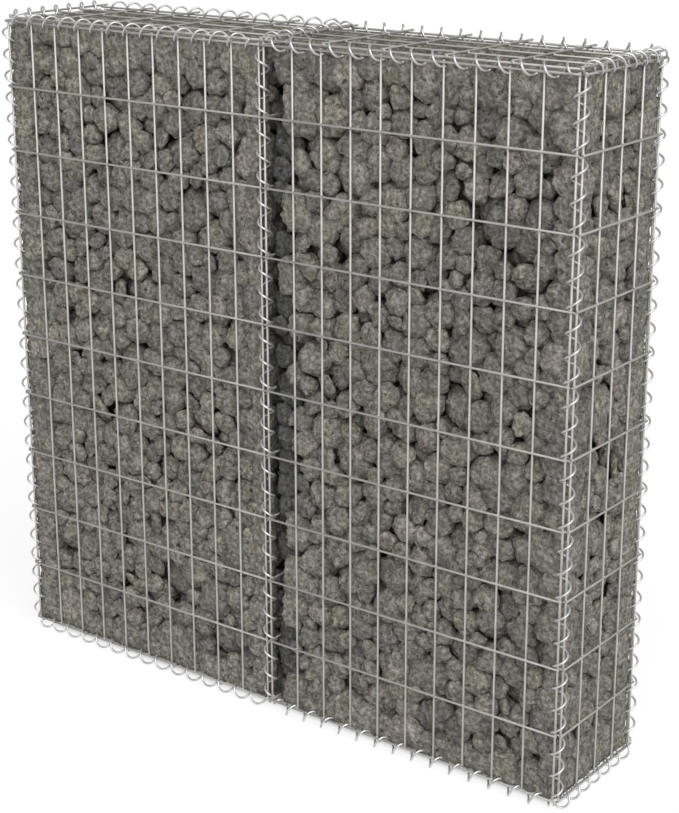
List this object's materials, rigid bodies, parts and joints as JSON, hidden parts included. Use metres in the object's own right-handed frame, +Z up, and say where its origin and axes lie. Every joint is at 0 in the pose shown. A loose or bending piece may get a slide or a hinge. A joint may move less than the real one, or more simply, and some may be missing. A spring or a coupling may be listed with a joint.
{
  "type": "gabion wall",
  "caption": "Free-standing gabion wall of welded wire mesh bays laced at every edge with wire spirals and filled with rough grey stone.",
  "frame": {"origin": "on the ground below the middle of the wall, at the lowest point of the lower spirals", "axes": "+X along the wall towards the right bay, +Y through the wall from its front to its back, +Z up"},
  "size_m": [1.0432, 0.2334, 1.0342],
  "materials": {
    "mesh_wire": "galvanised, satin",
    "spiral_wire": "galvanised, satin",
    "stone": "rough, broken"
  },
  "bodies": {
    "root": {"left_front_panel": "mesh_wire", "right_front_panel": "mesh_wire", "left_back_panel": "mesh_wire", "right_back_panel": "mesh_wire", "left_end_panel": "mesh_wire", "right_end_panel": "mesh_wire", "middle_divider_panel": "mesh_wire", "left_lid_panel": "mesh_wire", "right_lid_panel": "mesh_wire", "left_base_panel": "mesh_wire", "right_base_panel": "mesh_wire", "left_front_corner_spiral": "spiral_wire", "right_front_corner_spiral": "spiral_wire", "left_back_corner_spiral": "spiral_wire", "right_back_corner_spiral": "spiral_wire", "middle_front_spiral": "spiral_wire", "middle_back_spiral": "spiral_wire", "left_front_lid_spiral": "spiral_wire", "right_front_lid_spiral": "spiral_wire", "left_back_lid_spiral": "spiral_wire", "right_back_lid_spiral": "spiral_wire", "left_end_lid_spiral": "spiral_wire", "right_end_lid_spiral": "spiral_wire", "middle_lid_spiral": "spiral_wire", "left_front_base_spiral": "spiral_wire", "right_front_base_spiral": "spiral_wire", "left_back_base_spiral": "spiral_wire", "right_back_base_spiral": "spiral_wire", "left_end_base_spiral": "spiral_wire", "right_end_base_spiral": "spiral_wire", "middle_base_spiral": "spiral_wire", "left_stone_fill": "stone", "right_stone_fill": "stone"}
  },
  "joints": []
}
